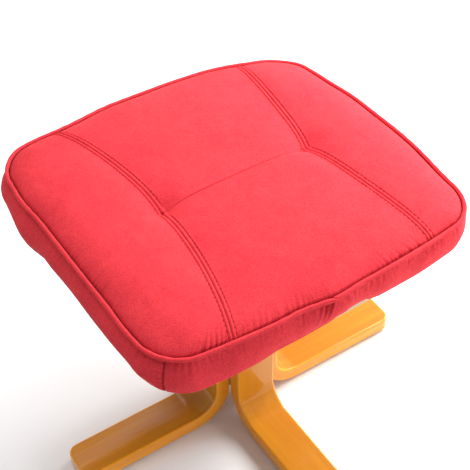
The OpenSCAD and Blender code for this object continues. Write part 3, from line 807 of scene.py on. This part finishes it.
# Dust cover: one sheet of black spunbonded polypropylene, stretched over the board's underside and
# the turned-in band and stapled all round.
dust_inset, dust_n = 0.013, 81
dust_u, dust_v = np.meshgrid(np.linspace(-1, 1, dust_n), np.linspace(-1, 1, dust_n))
dust_x, dust_y = plan(dust_u, dust_v, dust_inset, 0.0)
dust_edge = (1 - share_of_rim(dust_x, dust_y, rim_loop(dust_inset, 0.0))) * half_w
hem_free = np.clip((dust_edge - 0.019) / 0.008, 0, 1)
arm_free = np.clip((np.minimum(np.abs(dust_x), np.abs(dust_y)) - 0.032) / 0.05, 0, 1)
ripple = np.sin(dust_x * 90 + 2 * dust_y * 31) * np.sin(dust_y * 77 + 1)
slack = 0.0011 * arm_free * hem_free * (1 + 0.5 * ripple)
dust_z = 0.3586 + 0.0005 * hem_free * (3 - 2 * hem_free) * hem_free - slack
dust_shape = np.stack([dust_x, dust_y, dust_z], -1)
black_nonwoven, tree, surface = new_material("black_nonwoven", Roughness=0.85, Specular_IOR_Level=0.3)
bonds = add_node(tree, "TexVoronoi", {
    "Vector": add_node(tree, "TexCoord").outputs["Object"], "Scale": 760, "Randomness": 0.12,
}).outputs["Distance"]
fibres = object_noise(tree, 2400, (1, 0.3, 1), Detail=3)
blend = add_node(tree, "Mix", {0: 0.5, 2: bonds, 3: fibres}).outputs[0]
two_tone(tree, surface, blend, 0.25, (0.008, 0.008, 0.009), 0.7, (0.034, 0.034, 0.036))
bump_from(tree, surface, blend, 0.5, 0.0002)
dust = new_piece(
    "dust_sheet", grid_mesh("dust_sheet", dust_shape[:, ::-1]), black_nonwoven, "black_nonwoven",
    "dust_cover")
sheet_t = dust.modifiers.new("sheet_thickness", "SOLIDIFY")
sheet_t.thickness, sheet_t.offset = 0.0004, -1

# Band: the side of the cover, sewn in under the piping, drawn over the foam's edge, rolled round the
# board and stapled underneath. Two lengths meet at the front left and back right corners.
def rim_point(at):
    at = np.mod(at, rim_length)
    return np.stack([np.interp(at, rim_at, closed_rim[:, 0]), np.interp(at, rim_at, closed_rim[:, 1])], -1)


def rim_frame(at):
    """Point, outward direction and rise of the piping line, so far round it."""
    point = rim_point(at)
    tangent = rim_point(at + 0.002) - rim_point(at - 0.002)
    tangent /= np.linalg.norm(tangent, axis=-1, keepdims=True)
    return point, np.stack([tangent[..., 1], -tangent[..., 0]], -1), rise(point[..., 0], point[..., 1])


board_line = rim_loop(0.0, 0.2)
board_line = np.concatenate([board_line, board_line[:1]])
hem_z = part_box("band_front_length")[0].z
roll_r, hem_w = 0.0055, 0.026
wall_rows, roll_rows, hem_rows = 40, 8, 6
under_rows = roll_rows + hem_rows
column_w = 0.0014
band_draw = np.random.default_rng(11)
band_top = piping_z - 0.0024
wall_low = hem_z + roll_r
crease_n = 210
creases = []
for _ in range(crease_n):
    creases.append((
        band_draw.uniform(0, rim_length), band_draw.uniform(0.0010, 0.0022),
        band_draw.uniform(0.0003, 0.0010), band_draw.uniform(0.005, 0.016), band_draw.uniform(-0.25, 0.2)))
for x, width, depth, length, slant in (
        (-0.0125, 0.0017, 0.0042, 0.018, -0.36), (-0.0190, 0.0020, 0.0026, 0.024, -0.28),
        (-0.0280, 0.0020, 0.0009, 0.015, -0.12), (0.0030, 0.0022, 0.0018, 0.010, 0.45),
        (0.0280, 0.0030, 0.0012, 0.010, 0.4)):
    creases.append((front_at(x), width, depth, length, slant))


def band_points(first, last):
    """Grid of a length's outer face from hem to piping, and how much painted shade each point gets."""
    at = np.linspace(first, last, int((last - first) / column_w))
    point, outward, lift = rim_frame(at)
    share = np.linspace(0, 1, wall_rows)
    to_left, to_right = np.clip(-outward[:, 0], 0, 1), np.clip(outward[:, 0], 0, 1)
    to_front, to_back = np.clip(-outward[:, 1], 0, 1), np.clip(outward[:, 1], 0, 1)
    swell = 0.0034 + 0.0074 * to_left + 0.0022 * to_right + 0.0026 * to_back
    facing = np.degrees(np.arctan2(point[:, 1], point[:, 0]))
    fuller = 0.0030 * to_left ** 2
    for side_at, width, amount in (
            (-135, 8, 0.0030), (143, 10, -0.0060), (157, 10, 0.0095), (-151, 9, -0.0016)):
        fuller = fuller + amount * hump(np.mod(facing - side_at + 180, 360) - 180, width)
    fuller = fuller + to_front * np.interp(
        point[:, 0], (-0.145, -0.110, -0.085, -0.050, -0.026, 0.002, 0.046, 0.062, 0.120),
        (0.0065, 0.0045, 0.0012, 0, -0.0035, -0.0080, -0.0060, -0.0028, 0))
    sag = to_front * np.interp(point[:, 0], (-0.130, -0.080), (0.0040, 0))
    curve = np.sin(math.pi * share ** 1.15)
    wall_z = band_top + (wall_low - band_top) * share
    turn = np.linspace(0, math.pi / 2, roll_rows + 1)[1:]
    hem = np.linspace(0, hem_w, hem_rows + 1)[1:]
    curve = np.concatenate([curve, np.zeros(under_rows)])
    low_share = np.concatenate([share, np.ones(roll_rows), 1 - np.arange(1, hem_rows + 1) / hem_rows])
    rest = np.concatenate([-0.0010 * (1 - share), roll_r * np.cos(turn) - roll_r, -roll_r - hem])
    out = rest[:, None] + curve[:, None] * swell[None] + low_share[:, None] ** 2 * fuller[None]
    height = np.concatenate([wall_z, wall_low - roll_r * np.sin(turn), np.full(hem_rows, hem_z)])
    follow = np.concatenate([1 - share, np.zeros(under_rows)])
    z = height[:, None] + follow[:, None] * lift[None] - low_share[:, None] ** 2 * sag[None]
    drop = (band_top + lift[None]) - z
    swing = np.zeros_like(z)
    for crease_at, width, depth, length, slant in creases:
        gap = at[None] - crease_at - slant * drop
        gap = np.mod(gap + rim_length / 2, rim_length) - rim_length / 2
        fade = np.exp(-(drop / length) ** 1.6)
        swing += depth * fade * (0.45 * hump(np.abs(gap) - 2.2 * width, width) - hump(gap, width))
    ends = np.minimum(at - first, last - at)
    seam_pull = 0.0016 * np.exp(-(ends / 0.0016) ** 2)
    near_joint = np.exp(-np.clip(last - at, 0, None) / 0.006)
    gathers = 0.0012 * near_joint[None] * np.sin(2 * math.pi * drop / 0.0052)
    waves = 0.0009 * np.sin(at * 71 + 1.3 * np.sin(at * 23))[None]
    waves = waves * np.sin(math.pi * np.clip(drop / 0.045, 0, 1))
    wall_share = np.concatenate([np.ones(wall_rows), np.linspace(0.8, 0, roll_rows), np.zeros(hem_rows)])
    out = out + (swing + gathers + waves - seam_pull[None]) * wall_share[:, None]
    board_x, board_y = np.interp(at, rim_at, board_line[:, 0]), np.interp(at, rim_at, board_line[:, 1])
    board_point = np.stack([board_x, board_y], -1)
    towards_board = np.concatenate([share, np.ones(under_rows)])[:, None, None]
    xy = point + (board_point - point) * towards_board + outward * out[..., None]
    # Painted shade in the crevice under the piping, at the joints and in the troughs of the creases and
    # gathers.
    painted_shade_here = hump(drop - 0.0006, 0.0012) + hump(ends, 0.0007)[None]
    painted_shade_here = painted_shade_here + 140 * np.clip(-swing - gathers, 0, 0.004)
    return np.concatenate([xy, z[..., None]], -1)[::-1], painted_shade_here[::-1]


for band_name, first, last, node in (
        ("front_band_length", 0.0, half_way, "band_front_length"),
        ("back_band_length", half_way, rim_length, "band_back_length")):
    points, painted_shade_here = band_points(first, last)
    band = new_piece(band_name, grid_mesh(band_name, points), coral_velvet, "coral_velvet", node)
    mark_painted_shade(band.data, painted_shade_here)
    thickness = band.modifiers.new("cloth_thickness", "SOLIDIFY")
    thickness.thickness, thickness.offset = fabric_t, -1

# Piping: a strip of the same velvet folded round a cotton cord and sewn into the seam between the
# top and the band. Its two ends are lapped on the front side.
piping_r = 0.0029
lap_at = front_at(-0.0110)


def swept_tube(at, radius, sides, lapped):
    """Rings round the piping line, with the last end brought outwards over the first."""
    point, outward, lift = rim_frame(at)
    turn = np.linspace(0, 2 * math.pi, sides + 1)
    out = radius[:, None] * np.cos(turn)[None] + 0.0011 * lapped[:, None]
    ring_z = piping_z + (lift - 0.0010 * lapped)[:, None] + radius[:, None] * np.sin(turn)[None]
    xy = point[:, None] + outward[:, None] * out[..., None]
    return np.concatenate([xy, ring_z[..., None]], -1)


def close_tube(mesh, gap):
    """Join the tube's long edge and cap both its ends."""
    bm = bmesh.new()
    bm.from_mesh(mesh)
    bmesh.ops.remove_doubles(bm, verts=bm.verts, dist=gap)
    bmesh.ops.holes_fill(bm, edges=[edge for edge in bm.edges if edge.is_boundary], sides=0)
    bmesh.ops.recalc_face_normals(bm, faces=bm.faces)
    bm.to_mesh(mesh)
    bm.free()
    mesh.shade_smooth()


lap_length, piping_wall, weld_gap = 0.004, 0.0009, 0.00002
tube_rings, tube_sides, core_sides = 1100, 20, 10
lap_end = lap_at + rim_length + lap_length
tube_at = np.linspace(lap_at, lap_end, tube_rings)
from_lap = np.minimum(tube_at - lap_at, lap_end - tube_at)
lapped = np.exp(-((lap_end - tube_at) / 0.008) ** 2)
lumps = sum(
    band_draw.uniform(0.00003, 0.00007)
    * np.sin(tube_at * band_draw.uniform(60, 420) + band_draw.uniform(0, 6))
    for _ in range(7))
tube_r = piping_r + lumps * np.clip(from_lap / 0.02, 0, 1) - 0.0012 * np.exp(-(from_lap / 0.0008) ** 2)
piping = new_piece(
    "piping_strip", grid_mesh("piping_strip", swept_tube(tube_at, tube_r, tube_sides, lapped)),
    coral_velvet, "coral_velvet", "piping_cover")
ring_turn = np.linspace(0, 2 * math.pi, tube_sides + 1)
# Painted shade on the piping's lower and inner side, where it turns away from the light into the seam.
painted_underside_shade = np.clip(-np.sin(ring_turn + 0.25), 0, 1) ** 0.7 + np.clip(-np.cos(ring_turn), 0, 1) ** 6
mark_painted_shade(piping.data, np.tile(painted_underside_shade, (tube_rings, 1)))
close_tube(piping.data, weld_gap)
core_shape = swept_tube(tube_at, tube_r - piping_wall, core_sides, lapped)
core = new_piece(
    "piping_cord_core", grid_mesh("piping_cord_core", core_shape), cotton_cord, "cord", "piping_cord")
close_tube(core.data, weld_gap)
